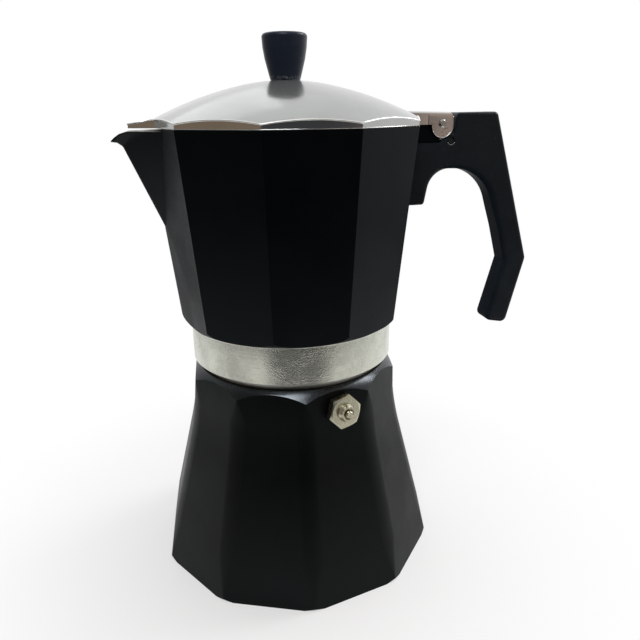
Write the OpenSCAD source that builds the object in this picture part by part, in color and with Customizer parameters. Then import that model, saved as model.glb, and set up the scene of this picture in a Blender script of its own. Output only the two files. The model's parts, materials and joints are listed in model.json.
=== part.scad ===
// Stove-top coffee maker with ten-sided boiler and jug, 12 cups.
// +Z is up, the handle points to +X and the spout to -X.
// The origin is the centre of the boiler's underside.

/* [Boiler] */
// Across flats at the foot
foot_af = 133; // [128:0.5:138]
// Height of the band above the foot, where the wall is steeper
foot_band_h = 21; // [14:0.5:28]
// Across flats at the top of that band
foot_band_af = 125.6; // [122:0.2:127]
// Height of the waist, where the flare ends
waist_z = 73; // [66:0.5:76]
// Across flats at the waist
waist_af = 100.2; // [99:0.2:103]
// Radius that blends the flare into the waist
waist_blend_r = 140; // [60:5:180]
// Height of the ring that the neck stands on
shoulder_z = 98.8; // [97:0.2:103]
// Across flats just under the shoulder
shoulder_af = 96; // [95.2:0.2:97.4]
// Wall thickness at the middle of a facet
boiler_wall = 3.4; // [2.6:0.1:3.8]
// Floor thickness
boiler_floor = 4; // [3:0.2:6]
// Turn of the boiler's corners against the jug's corners, in degrees
boiler_turn = 14.6; // [0:0.2:35]

/* [Neck and thread] */
// Height of the neck above the shoulder
neck_h = 13.7; // [12.6:0.1:14.6]
// Wall thickness of the neck
neck_wall = 3.9; // [3.2:0.1:4.2]
// Radial play of the thread
thread_play = 0.6; // [0.3:0.05:0.8]

/* [Collar and seal] */
// Outside diameter of the collar
collar_d = 96.5; // [96:0.1:98.5]
// Wall thickness of the collar
collar_wall = 3.25; // [2.8:0.05:3.6]
// Height of the collar
collar_h = 17.6; // [17:0.1:19]
// Gap between the shoulder and the collar when screwed home
collar_gap = 3.6; // [3:0.1:4.6]
// Thickness of the gasket
gasket_h = 4; // [3:0.1:4.6]
// Width of the gasket's ring
gasket_w = 7.1; // [5:0.1:8]
// Thickness of the filter plate
filter_t = 0.8; // [0.5:0.1:1.2]

/* [Funnel] */
// Depth of the coffee basket
basket_h = 24.5; // [20:0.5:28]
// Sheet thickness of the funnel
funnel_t = 0.8; // [0.6:0.1:1.2]
// Outside diameter of the funnel's tube
tube_d = 12; // [10:0.5:14]
// Clearance between the tube's end and the boiler's floor
tube_gap = 7; // [4:0.5:14]
// Diameter of a hole in the perforated plates
perforation_d = 1.6; // [1:0.1:2]
// Spacing of the rings of holes
perforation_pitch = 5; // [4:0.5:7]

/* [Jug] */
// Across flats at the collar
jug_low_af = 99.2; // [98:0.2:101]
// Across flats at the rim
jug_rim_af = 116.8; // [112:0.2:122]
// Height from the collar to the rim
jug_h = 88.1; // [78:0.5:96]
// Radius of the rounded lower edge
jug_round_r = 4.4; // [3:0.1:5]
// Wall thickness
jug_wall = 2.8; // [2:0.1:3.6]
// Floor thickness above the collar's recess
jug_floor = 5.2; // [4:0.2:7]
// Diameter of the riser column at its foot
column_d = 22; // [18:1:26]
// Wall thickness of the riser column
column_wall = 3; // [2:0.1:4]
// Height of the riser column above the floor
column_h = 72; // [50:1:74]

/* [Spout] */
// Reach of the lip beyond the rim's corner
lip_reach = 15; // [11:0.5:18]
// Drop of the lip's point below the rim
lip_drop = 5.2; // [4:0.2:6.4]
// Depth of the spout's foot below the rim
spout_depth = 42.4; // [38:0.2:48]
// Lean of the keel from upright, in degrees
keel_lean = 22.8; // [20:0.2:24]
// Radius of the keel's nose
nose_r = 2.8; // [2:0.1:3.4]
// Angle of a flank from the keel's plane, in degrees
flank_angle = 48.5; // [45:0.5:52]
// Length of a flank's flat part
flank_l = 27.3; // [22:0.1:30]
// Radius that blends a flank into the wall
flank_blend_r = 25; // [12:1:32]
// Wall thickness of the spout
spout_wall = 2; // [1.6:0.1:2.4]
// Step of the spout's rim below the jug's rim
spout_step = 1; // [0.6:0.1:2]

/* [Lid] */
// Sheet thickness
lid_t = 1.2; // [0.8:0.1:1.5]
// Height of the skirt at a corner
skirt_h = 1.8; // [1.4:0.1:3]
// Radius of the dome's crown
crown_r = 94; // [80:1:120]
// Radius in plan of the crown
crown_edge_r = 20; // [14:1:28]
// Radius of the dome outside the crown
dome_r = 163; // [120:1:200]
// Half width of the beak where it leaves the skirt
beak_half_w = 13; // [9:0.5:16]
// Half width of the beak at its end
beak_end_half_w = 5.5; // [3:0.5:8]
// Reach of the beak beyond the skirt's corner
beak_reach = 7.2; // [4:0.2:9]

/* [Hinge] */
// Distance of the hinge axis from the jug's axis
hinge_x = 71.9; // [71:0.1:74]
// Height of the hinge axis above the rim
hinge_rise = 0.2; // [-0.4:0.1:0.6]
// Diameter of the hinge pin
pin_d = 3; // [2.4:0.1:3.2]
// Running clearance of the pin in the ears
pin_play = 0.06; // [0.02:0.01:0.09]
// Radius of an ear's round end
ear_r = 5.15; // [4.6:0.05:5.4]
// Drop of that round end's centre below the hinge axis
ear_drop = 1.1; // [0.4:0.1:1.4]
// Half width over the ears
ear_half_w = 7; // [6.6:0.1:8]
// Height of the tab's top above the hinge axis, over the pin
tab_rise = 5.1; // [4.8:0.1:5.6]
// Bend radius along the tab's edges
tab_bend_r = 2.4; // [1.6:0.1:3]
// Fall of the tab towards its end, in degrees
tab_fall = 1.5; // [0:0.5:4]
// Radius of the lug's knuckle
knuckle_r = 3.1; // [2.6:0.1:3.2]

/* [Handle] */
// Width of the handle
handle_w = 13; // [11:0.5:13.4]
// Height of the leg that lies on the jug
leg_h = 28.5; // [24:0.5:32]
// Radius of the arch beside the leg
arch_left_r = 10.8; // [9:0.2:13]
// Radius of the arch beside the grip
arch_right_r = 22; // [18:0.5:26]
// Outward reach of the grip beyond the hinge axis
grip_reach = 49.4; // [46:0.2:54]
// Slant of the grip, from the bend in to the top corner
grip_slant = 21.1; // [16:0.1:24]
// Slant of the grip, from the bend in to its end
end_slant = 7.7; // [4:0.1:11]
// Thickness of the grip
grip_t = 11.8; // [9:0.2:14]
// Height of the handle's top above the rim
handle_rise = 5.1; // [4.6:0.1:6]
// Height of the bend in the grip below the rim
bend_drop = 66.2; // [58:0.2:74]
// Height of the grip's end below the rim
grip_drop = 98.8; // [90:0.2:108]
// Thickness of the lug's tongue in the handle's slot
tongue_t = 5; // [4:0.2:6]
// Diameter of the cross pin
cross_pin_d = 2.6; // [2:0.1:3]

/* [Knob] */
// Greatest diameter
knob_d = 19.8; // [17:0.2:24]
// Diameter at the foot
knob_foot_d = 13.4; // [12:0.2:16]
// Height
knob_h = 19.7; // [16:0.1:26]
// Diameter of the knob's screw
screw_d = 4; // [3:0.5:5]

/* [Safety valve] */
// Height of the valve on its facet
valve_z = 88.2; // [84:0.2:89]
// Sideways offset from the middle of the facet
valve_offset = 1.3; // [-3:0.1:3]
// Across flats of the hexagon
valve_af = 14; // [12:0.5:15]
// Height of the hexagon
valve_hex_h = 3.9; // [3.4:0.1:5]
// Turn of the hexagon about the valve's axis, in degrees
valve_hex_turn = 43; // [0:1:59]
// Diameter of the threaded shank
shank_d = 9.8; // [9:0.1:10.4]
// Diameter of the plunger's stem
stem_d = 3.7; // [3:0.1:3.9]
// Opening travel of the plunger
valve_travel = 1.5; // [1:0.1:2]
// Wire diameter of the spring
wire_d = 0.7; // [0.5:0.05:0.8]

/* [Hidden] */
$fn = 96;
facets = 10;
step = 360 / facets;
flat_cos = cos(step / 2);
seat = 0.3;
eps = 0.01;
far = 400;

// Facet half widths and corner radii
foot_a = foot_af / 2;
foot_band_a = foot_band_af / 2;
waist_a = waist_af / 2;
shoulder_a = shoulder_af / 2;
shoulder_edge_z = shoulder_z - 3.8;
foot_corner_r = foot_a / flat_cos;
collar_r = collar_d / 2;
collar_bore_r = collar_r - collar_wall;
neck_r = collar_bore_r - thread_play;
neck_bore_r = neck_r - neck_wall;
neck_top = shoulder_z + neck_h;

// Collar, gasket and jug levels
collar_z = shoulder_z + collar_gap;
collar_top = collar_z + collar_h;
flange_top = neck_top + funnel_t;
gasket_top = flange_top + gasket_h;
filter_top = gasket_top + filter_t;
recess_z = filter_top + 0.2;
gasket_r = collar_bore_r - 0.4;
rim_z = collar_top + jug_h;
jug_slope = (jug_rim_af - jug_low_af) / 2 / jug_h;
rim_corner_r = jug_rim_af / 2 / flat_cos;
floor_z = recess_z + jug_floor;
spigot_r = column_d / 2 - 1;

// Funnel
basket_r = neck_bore_r - 0.9;
flange_r = neck_r - 1;
basket_floor = flange_top - basket_h;
funnel_cone_h = 6;
tube_r = tube_d / 2;
tube_bottom = boiler_floor + tube_gap;
strainer_r = basket_r - funnel_t - 0.2;

// Lid
lid_z = rim_z + seat;
lid_corner_r = rim_corner_r - 0.2;
lid_a = lid_corner_r * flat_cos;
crown_tilt = asin(crown_edge_r / crown_r);
edge_tilt = asin(sin(crown_tilt) + (lid_corner_r - crown_edge_r) / dome_r);
crown_drop = crown_r * (1 - cos(crown_tilt));
dome_drop = crown_drop + dome_r * (cos(crown_tilt) - cos(edge_tilt));
lid_top = lid_z + skirt_h + dome_drop;
knob_r = knob_d / 2;
knob_foot_r = knob_foot_d / 2;
knob_top_round = 1.6;
knob_crown = 0.5;
screw_r = screw_d / 2;
insert_r = screw_r + 1.3;
insert_h = 9;
washer_r = screw_r + 3;
washer_t = 0.8;
head_r = screw_r + 1.8;
head_h = 2.4;
lid_bore_r = screw_r + 0.2;
lid_seat_r = knob_foot_r + 0.6;

// Hinge and lug
hinge_z = rim_z + hinge_rise;
pin_r = pin_d / 2;
ear_t = lid_t;
ear_z = hinge_z - ear_drop;
lug_half_w = ear_half_w - ear_t - 0.3;
tab_z = hinge_z + tab_rise;
flange_x = hinge_x - ear_r - 1.6;
flange_z = rim_z - 0.3;
tab_step = 0.4;
ear_clear_r = max(ear_drop + ear_r, norm([ear_r, tab_rise]) - 0.7) + 1;
pin_head_r = pin_r + 0.45;
pin_head_h = 0.8;

// Handle, seen along Y
handle_top = rim_z + handle_rise;
recess_floor = hinge_z - 8.8;
recess_wall = hinge_x + ear_r + 2.6;
leg_bottom = recess_floor - leg_h;
bend_z = rim_z - bend_drop;
grip_end = rim_z - grip_drop;
grip_x = hinge_x + grip_reach;
top_corner_x = grip_x - grip_slant;
end_corner_x = grip_x - end_slant;
arch_top = recess_floor - 12;
arch_left_x = hinge_x + 5.4;
arch_right_x = hinge_x + 7.1;
arch_start_angle = 168;
arch_end_angle = 14;
leg_x = arch_left_x - arch_left_r;
tongue_end = recess_wall + 3;
tongue_bottom = arch_top + 4;
cross_x = hinge_x + 4.9;
cross_z = hinge_z - 7.9;
cross_r = cross_pin_d / 2;

// Safety valve, along its own axis with 0 on the facet
valve_turn = boiler_turn - 2.5 * step;
valve_lean = atan((waist_a - shoulder_a) / (shoulder_edge_z - waist_z));
valve_seat_r = valve_af / 2 + 0.3;
valve_seat_depth = 0.2;
valve_a = shoulder_a + (shoulder_edge_z - valve_z) * tan(valve_lean) - valve_seat_depth;
gasket_washer_t = 1;
hex_top = gasket_washer_t + valve_hex_h;
shank_r = shank_d / 2;
shank_end = -7.4;
chamber_r = shank_r - 1.7;
chamber_end = shank_end + 1.4;
port_r = 1.7;
bush_h = 2.6;
stem_r = stem_d / 2;
stem_play = 0.05;
seal_t = 0.7;
seal_r = chamber_r - 0.6;
disc_t = 1;
disc_z = chamber_end + seal_t;
stem_end = hex_top + bush_h + 1.6;
spring_r = (stem_r + chamber_r) / 2;
spring_turns = 5;
spring_slack = 0.6;
bush_inner = disc_z + disc_t + spring_turns * wire_d + valve_travel + spring_slack;
spring_start = disc_z + disc_t + wire_d / 2;
spring_end = bush_inner - wire_d / 2;

// Points on an arc round c, from angle a0 to a1
function arc(c, r, a0, a1, n) =
    [for (i = [0:n]) let (a = a0 + (a1 - a0) * i / n) [c[0] + r * cos(a), c[1] + r * sin(a)]];

// Direction of the line from p to q
function heading(p, q) = atan2(q[1] - p[1], q[0] - p[0]);

// Arc of radius r that rounds the corner q of the path p, q, s, which turns clockwise
function clockwise_blend(p, q, s, r, n) =
    let (h0 = heading(p, q), h1 = heading(q, s), half = (h0 - h1) / 2,
         c = q + r / cos(half) * [cos(h0 - half - 90), sin(h0 - half - 90)])
    arc(c, r, h0 + 90, h1 + 90, n);

// Mirror image of a path about the axis, in reverse order
function mirrored(path) = [for (i = [len(path) - 1:-1:0]) [-path[i][0], path[i][1]]];

// Solid with ten equal sides, each with the outline path = [[half width, z], ...]
module ten_sided(path, turn = 0) {
    intersection_for (k = [0:facets / 2 - 1])
        rotate([0, 0, turn + (k + 0.5) * step])
            rotate([90, 0, 0])
                linear_extrude(height = far, center = true)
                    polygon(concat(path, mirrored(path)));
}

// Plate in the XZ plane, as thick as t and centred on Y
module upright(t) {
    rotate([90, 0, 0])
        linear_extrude(height = t, center = true)
            children();
}

// Cylinder along Y, centred at (x, z)
module cross_rod(x, z, r, length) {
    translate([x, 0, z])
        rotate([90, 0, 0])
            cylinder(r = r, h = length, center = true);
}

// Moves a shape from the valve's own axis to its facet
module on_facet() {
    rotate([0, 0, valve_turn])
        translate([valve_a, valve_offset, valve_z])
            rotate([0, 90 - valve_lean, 0])
                children();
}

// ---------------------------------------------------------------- boiler

foot = [foot_a, 0];
band = [foot_band_a, foot_band_h];
waist = [waist_a, waist_z];
shoulder = [shoulder_a, shoulder_edge_z];
neck_side = shoulder + (shoulder - waist) * 0.5;
boiler_path = concat([foot, band], clockwise_blend(band, waist, shoulder, waist_blend_r, 6), [neck_side]);

// Limits of revolution that round the foot's corners and cut the shoulder's scallops
shoulder_path = [[shoulder_a + 4, shoulder_edge_z - 2.6], [shoulder_a + 2.3, shoulder_edge_z - 0.7],
                 [shoulder_a + 0.9, shoulder_edge_z + 1.1], [shoulder_a - 0.5, shoulder_edge_z + 2.7],
                 [shoulder_a - 2, shoulder_z]];
module boiler_limits() {
    foot_round = 1.4;
    rotate_extrude()
        polygon(concat([[0, 0], [foot_corner_r - foot_round, 0], [foot_corner_r - 0.3, foot_round],
                        [foot_corner_r - 0.3, shoulder_edge_z - 6]],
                       shoulder_path, [[0, shoulder_z]]));
}

module boiler_cavity() {
    w = boiler_wall;
    throat = shoulder_edge_z - 4;
    rotate_extrude()
        polygon([[0, boiler_floor], [foot_a - w - 5, boiler_floor], [foot_a - w - 1.6, boiler_floor + 5],
                 [foot_band_a - w, foot_band_h], [waist_a - w, waist_z], [shoulder_a - w + 0.2, throat],
                 [neck_bore_r, throat + 4], [neck_bore_r, neck_top + 1], [0, neck_top + 1]]);
}

module boiler() {
    color("#1d1e20")
        difference() {
            union() {
                intersection() {
                    ten_sided(boiler_path, boiler_turn);
                    boiler_limits();
                }
                translate([0, 0, shoulder_z - 1])
                    cylinder(r = neck_r, h = neck_h + 1);
            }
            boiler_cavity();
            on_facet() {
                translate([0, 0, shank_end - 4])
                    cylinder(r = shank_r + 0.1, h = valve_af);
                cylinder(r = valve_seat_r, h = valve_af);
            }
        }
}

// ---------------------------------------------------------------- safety valve

module valve_washer() {
    color("#b08d57")
        on_facet()
            difference() {
                cylinder(r = valve_af / 2 - 0.6, h = gasket_washer_t);
                translate([0, 0, -1])
                    cylinder(r = shank_r + 0.1, h = gasket_washer_t + 2);
            }
}

module hexagon_head() {
    corner_r = valve_af / 2 / cos(30);
    intersection() {
        translate([0, 0, gasket_washer_t])
            rotate([0, 0, valve_hex_turn])
                cylinder(r = corner_r, h = valve_hex_h, $fn = 6);
        translate([0, 0, hex_top - corner_r * 2])
            cylinder(r1 = corner_r * 2 * 1.6 + valve_af / 2, r2 = valve_af / 2 - 0.4, h = corner_r * 2);
    }
}

module valve_body() {
    color("#b9b08f")
        on_facet()
            difference() {
                union() {
                    hexagon_head();
                    translate([0, 0, shank_end])
                        cylinder(r = shank_r, h = gasket_washer_t - shank_end + eps);
                }
                translate([0, 0, shank_end - 1])
                    cylinder(r = port_r, h = 4);
                translate([0, 0, chamber_end])
                    cylinder(r = chamber_r, h = hex_top - chamber_end + 1);
            }
}

module valve_bush() {
    guide_r = stem_r + stem_play;
    mouth_r = stem_r + 0.65;
    boss_r = chamber_r + 1;
    color("#c3ba9a")
        on_facet()
            rotate_extrude()
                polygon([[guide_r, bush_inner], [chamber_r, bush_inner], [chamber_r, hex_top],
                         [boss_r, hex_top], [boss_r, hex_top + 0.7], [boss_r - 0.9, hex_top + bush_h],
                         [mouth_r, hex_top + bush_h], [mouth_r, hex_top + 0.8], [guide_r, hex_top + 0.8]]);
}

module valve_plunger() {
    dome = 1.2;
    color("#cfc7a6")
        on_facet()
            union() {
                translate([0, 0, disc_z])
                    cylinder(r = seal_r + 0.1, h = disc_t);
                translate([0, 0, disc_z])
                    cylinder(r = stem_r, h = stem_end - dome - disc_z);
                translate([0, 0, stem_end - dome])
                    rotate_extrude()
                        intersection() {
                            scale([stem_r, stem_r])
                                circle(r = 1);
                            square([stem_r, dome]);
                        }
            }
}

module valve_seal() {
    color("#3a3a3a")
        on_facet()
            translate([0, 0, chamber_end])
                cylinder(r = seal_r, h = seal_t);
}

module valve_spring() {
    sides = 6;
    per_turn = 14;
    rings = spring_turns * per_turn;
    rise = spring_end - spring_start;
    points = [for (i = [0:rings], j = [0:sides - 1])
        let (a = 360 * i / per_turn, b = 360 * j / sides, r = spring_r + wire_d / 2 * cos(b))
        [r * cos(a), r * sin(a), spring_start + rise * i / rings + wire_d / 2 * sin(b)]];
    skins = [for (i = [0:rings - 1], j = [0:sides - 1])
        let (k = (j + 1) % sides)
        [i * sides + j, (i + 1) * sides + j, (i + 1) * sides + k, i * sides + k]];
    ends = [[for (j = [0:sides - 1]) j], [for (j = [sides - 1:-1:0]) rings * sides + j]];
    color("#9a9a98")
        on_facet()
            polyhedron(points, concat(skins, ends));
}

// ---------------------------------------------------------------- funnel and seal

// Rings of holes, each ring one pitch outside the last
module perforations(r_max) {
    circle(d = perforation_d);
    for (ring = [1:floor(r_max / perforation_pitch)])
        for (i = [0:6 * ring - 1])
            rotate(360 * i / (6 * ring))
                translate([ring * perforation_pitch, 0])
                    circle(d = perforation_d);
}

module perforated_disc(r, t, r_max) {
    linear_extrude(height = t)
        difference() {
            circle(r = r);
            perforations(r_max);
        }
}

module funnel() {
    t = funnel_t;
    inner_r = basket_r - t;
    ledge_r = inner_r - 2.5;
    cone_z = basket_floor - funnel_cone_h;
    color("#c9cbc8")
        rotate_extrude()
            polygon([[flange_r, flange_top], [inner_r, flange_top], [inner_r, basket_floor],
                     [ledge_r, basket_floor], [tube_r - t, cone_z], [tube_r - t, tube_bottom],
                     [tube_r, tube_bottom], [tube_r, cone_z - t], [ledge_r, basket_floor - t * 1.2],
                     [basket_r, basket_floor - t * 1.2], [basket_r, neck_top], [flange_r, neck_top]]);
}

module funnel_strainer() {
    color("#b8bab8")
        translate([0, 0, basket_floor])
            perforated_disc(strainer_r, t = funnel_t, r_max = strainer_r - 6);
}

module gasket() {
    color("#e6e2da")
        translate([0, 0, flange_top])
            linear_extrude(height = gasket_h)
                difference() {
                    circle(r = gasket_r);
                    circle(r = gasket_r - gasket_w);
                }
}

module filter_plate() {
    color("#b8bab8")
        translate([0, 0, gasket_top])
            perforated_disc(gasket_r - 2, t = filter_t, r_max = gasket_r - gasket_w - 2);
}

// ---------------------------------------------------------------- jug

function jug_half(z) = jug_low_af / 2 + (z - collar_top) * jug_slope;

module jug_outside(grow = 0) {
    low = recess_z - 20;
    high = rim_z + grow * 40;
    ten_sided([[jug_half(low) + grow, low], [jug_half(high) + grow, high]]);
}

module jug_shell() {
    r = jug_round_r;
    edge_r = jug_half(collar_top + r) / flat_cos;
    intersection() {
        jug_outside();
        rotate_extrude()
            polygon(concat([[0, recess_z - 1], [collar_r - 3, recess_z - 1], [collar_r - 3, collar_top]],
                           arc([edge_r - r, collar_top + r], r, -90, 0, 8),
                           [[edge_r + 0.5, collar_top + r], [rim_corner_r + 9, rim_z],
                            [0, rim_z]]));
    }
}

module jug_cavity() {
    ten_sided([[jug_half(floor_z) - jug_wall, floor_z + 5], [jug_half(rim_z) - jug_wall, rim_z + eps],
               [jug_half(rim_z) - jug_wall, rim_z + 1]]);
    rotate_extrude()
        polygon([[0, floor_z], [jug_half(floor_z) - jug_wall - 5, floor_z],
                 [jug_half(floor_z) - jug_wall, floor_z + 5], [0, floor_z + 5 + eps]]);
}

// Tube that the coffee rises through, with a spigot in the jug's floor and two ports near its top
module riser() {
    foot_r = column_d / 2;
    head_r = foot_r - 2;
    w = column_wall;
    top = floor_z + column_h;
    cap = 6;
    color("#a9aaa6")
        difference() {
            rotate_extrude()
                polygon([[foot_r - w, recess_z], [spigot_r, recess_z], [spigot_r, floor_z],
                         [foot_r, floor_z], [head_r, top - cap / 2], [head_r - cap / 2, top],
                         [0, top], [0, top - cap], [head_r - w, top - cap]]);
            cross_rod(0, top - cap - 4, 2.6, column_d + 4);
        }
}

// Section of the spout across its keel, with the nose at 0, set in by the given amount
function spout_section(inset) =
    let (facet_angle = atan(tan(90 - step / 2) / cos(keel_lean)),
         along = [cos(flank_angle), sin(flank_angle)],
         across = [-sin(flank_angle), cos(flank_angle)],
         c = [nose_r, 0] + flank_l * along + (nose_r + flank_blend_r) * across,
         half = concat(arc([nose_r, 0], nose_r - inset, 180, 90 + flank_angle, 4),
                       arc(c, flank_blend_r + inset, flank_angle - 90, facet_angle - 90, 6),
                       [jug_low_af * [0.6, 0.4]]))
    concat(half, [for (i = [len(half) - 1:-1:0]) [half[i][0], -half[i][1]]]);

// The spout's section drawn along the line from p to q in the XZ plane, from before p to length past it
module keel_prism(p, q, inset, before, length) {
    translate([p[0], 0, p[1]])
        rotate([0, -atan2(p[0] - q[0], q[1] - p[1]), 0])
            translate([0, 0, -before])
                linear_extrude(height = before + length)
                    polygon(spout_section(inset));
}

// Spout as a straight prism along its keel
module spout_prism(inset) {
    keel_z = rim_z - spout_depth;
    foot = [-jug_half(keel_z) / flat_cos, keel_z];
    keel_prism(foot, foot + [-sin(keel_lean), cos(keel_lean)], inset, inset * -2.5, spout_depth * 1.4);
}

lip_x = -(rim_corner_r + lip_reach);
lip_z = rim_z - lip_drop;
lip_low = rim_z - spout_step;
lip_wall = spout_wall * 0.6;
lip_tip_r = 1.6;

// Lower edge of the lip in the keel's plane, out to its tip
lip_path = [[lip_x + 8.4, lip_z - 9.3], [lip_x + 6.3, lip_z - 4.6], [lip_x + 4.5, lip_z - 2.05],
            [lip_x + 2.6, lip_z - 0.7], [lip_x, lip_z - 0.3]];

// Lip that flares out over the keel in steps, each leaning further out than the last
module spout_lip(inset) {
    steps = len(lip_path) - 1;
    intersection() {
        union()
            for (k = [0:steps - 1])
                keel_prism(lip_path[k], lip_path[k + 1], inset, 3, k < steps - 1 ? lip_reach : 3);
        translate([0, 0, lip_z - 12])
            linear_extrude(height = rim_z - lip_z + 12)
                polygon(concat(arc([lip_x + lip_tip_r + inset, 0], lip_tip_r, 225, 135, 6),
                               [[lip_x + 22, 24], [lip_x + 22, -24]]));
    }
}

// Everything above the lip's curved upper edge
module lip_slope() {
    step_x = -rim_corner_r + 6.7;
    upright(60)
        polygon([[lip_x - 4, lip_z + 0.1], [lip_x, lip_z + 0.1], [lip_x + 1.6, lip_z + 1.5],
                 [lip_x + 3.8, lip_z + 3], [lip_x + 7.2, lip_low - 0.15], [lip_x + 9, lip_low],
                 [step_x, lip_low], [step_x + 0.6, rim_z + 3], [lip_x - 4, rim_z + 3]]);
}

module lug() {
    union() {
        cross_rod(hinge_x, hinge_z, knuckle_r, lug_half_w * 2);
        upright(lug_half_w * 2)
            polygon([[rim_corner_r - 6, recess_floor], [hinge_x - 1.5, recess_floor],
                     [hinge_x + knuckle_r - 0.6, hinge_z - 2], [hinge_x, hinge_z],
                     [hinge_x - 2, hinge_z + 2], [hinge_x - 7, rim_z - 0.5],
                     [rim_corner_r - 6, rim_z - 0.5]]);
        upright(tongue_t)
            difference() {
                polygon([[rim_corner_r - 8, tongue_bottom - 8], [rim_corner_r, tongue_bottom - 8],
                         [hinge_x - 2, tongue_bottom], [tongue_end, tongue_bottom],
                         [tongue_end, cross_z + 2.6], [rim_corner_r - 8, cross_z + 2.6]]);
                translate([hinge_x, hinge_z])
                    difference() {
                        circle(r = ear_clear_r);
                        translate([-ear_clear_r, -ear_clear_r])
                            square([ear_clear_r, 2 * ear_clear_r]);
                    }
            }
    }
}

module upper_chamber() {
    color("#1d1e20")
        difference() {
            union() {
                jug_shell();
                translate([0, 0, collar_z])
                    cylinder(r = collar_r, h = collar_h);
                intersection() {
                    spout_prism(0);
                    cylinder(r = far, h = rim_z);
                }
                spout_lip(0);
                lug();
            }
            jug_cavity();
            spout_prism(spout_wall);
            spout_lip(lip_wall);
            lip_slope();
            translate([0, 0, collar_z - 1])
                cylinder(r = collar_bore_r, h = recess_z - collar_z + 1);
            translate([0, 0, recess_z - 1])
                cylinder(r = spigot_r + 0.02, h = jug_floor + 2);
            cross_rod(hinge_x, hinge_z, pin_r + 0.02, 30);
            cross_rod(cross_x, cross_z, cross_r + 0.02, 30);
        }
}

// ---------------------------------------------------------------- hinge pin

module hinge_pin() {
    length = ear_half_w + 0.15;
    color("#b6b6b2")
        union() {
            cross_rod(hinge_x, hinge_z, pin_r, length * 2);
            for (side = [-1, 1])
                translate([hinge_x, side * length, hinge_z])
                    rotate([-side * 90, 0, 0])
                        cylinder(r1 = pin_head_r, r2 = pin_head_r - 0.7, h = pin_head_h);
        }
}

// ---------------------------------------------------------------- handle

arch_left = arc([arch_left_x, arch_top - arch_left_r], arch_left_r, arch_start_angle, 90, 8);
arch_right = arc([arch_right_x, arch_top - arch_right_r], arch_right_r, 90, arch_end_angle, 8);
handle_path = concat(
    [[leg_x - 12, leg_bottom], [leg_x - 2, leg_bottom]], arch_left, arch_right,
    [[grip_x - grip_t - 4.6, bend_z + 16], [grip_x - grip_t, bend_z - 0.8],
     [end_corner_x - grip_t - 0.8, grip_end + 4.3], [end_corner_x - grip_t + 0.2, grip_end + 0.9],
     [end_corner_x - 3.2, grip_end - 1.2], [end_corner_x, grip_end + 0.2], [grip_x, bend_z],
     [top_corner_x, handle_top - 1.2], [top_corner_x - 1.4, handle_top],
     [recess_wall + 1, handle_top - 0.2], [recess_wall, handle_top - 1.2]],
    arc([hinge_x, hinge_z], ear_clear_r + 0.3, -35, -80, 5),
    [[hinge_x - 1, recess_floor], [leg_x - 12, recess_floor]]);

module handle() {
    slot_w = tongue_t + 0.4;
    color("#16181c")
        difference() {
            upright(handle_w)
                polygon(handle_path);
            jug_outside(seat);
            upright(slot_w)
                polygon([[leg_x - 20, tongue_bottom - 8.4], [rim_corner_r + seat, tongue_bottom - 8.4],
                         [hinge_x - 2, tongue_bottom - 0.4], [tongue_end + 0.4, tongue_bottom - 0.4],
                         [tongue_end + 0.4, cross_z + 3], [tongue_end - 2, recess_floor + 6],
                         [leg_x - 20, recess_floor + 6]]);
            cross_rod(cross_x, cross_z, cross_r + 0.02, 30);
        }
}

module handle_pin() {
    color("#8f908e")
        cross_rod(cross_x, cross_z, cross_r, handle_w - 1.2);
}

// ---------------------------------------------------------------- lid and knob

// Outline of the dome in half section, as thick sheet t below its outer face
function dome_path(t) =
    let (c0 = [0, lid_top - crown_r],
         c1 = c0 + (crown_r - dome_r) * [sin(crown_tilt), cos(crown_tilt)])
    concat(arc(c0, crown_r - t, 90, 90 - crown_tilt, 6),
           arc(c1, dome_r - t, 90 - crown_tilt, 90 - edge_tilt, 10));

module dome(t) {
    path = dome_path(t);
    last = path[len(path) - 1];
    rotate_extrude()
        polygon(concat([[0, lid_z - 5 * t]], path,
                       [[last[0] + 3, last[1] - 1.6], [last[0] + 3, lid_z - 5 * t]]));
}

module lid_prism(inset) {
    translate([0, 0, lid_z - inset])
        cylinder(r = lid_corner_r - inset / flat_cos, h = 40, $fn = facets);
}

// Domed top with its flat-sided skirt, set in by the given amount
module lid_cap(inset) {
    intersection() {
        dome(inset);
        lid_prism(inset);
    }
}

module beak(inset) {
    root_x = -(lid_a - 2);
    end_x = -(lid_corner_r + beak_reach) + inset;
    root_z = lid_z + skirt_h + 1.5 - inset;
    end_z = lid_z + 1.5 - inset * 0.5;
    low = lid_z - inset;
    hull() {
        translate([root_x, 0, (root_z + low) / 2])
            cube([0.1, 2 * (beak_half_w - inset), root_z - low], center = true);
        translate([end_x + 0.05, 0, (end_z + low) / 2])
            cube([0.1, 2 * (beak_end_half_w - inset), end_z - low], center = true);
    }
}

// Side view of the hinge tab, with its round ear
module ear_shape() {
    union() {
        translate([hinge_x, ear_z])
            circle(r = ear_r);
        polygon([[flange_x - 4, flange_z], [flange_x, flange_z], [hinge_x - ear_r, flange_z],
                 [hinge_x - ear_r, ear_z], [hinge_x + ear_r, ear_z], [hinge_x + ear_r, tab_z - 1.9],
                 [hinge_x + ear_r - 0.6, tab_z - 0.7], [hinge_x + ear_r - 2, tab_z + 1],
                 [rim_corner_r - 7, tab_z + 2], [rim_corner_r - 7, lid_z + 0.6],
                 [rim_corner_r - 1.2, lid_z + 0.6], [rim_corner_r - 1.2, flange_z]]);
    }
}

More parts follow.
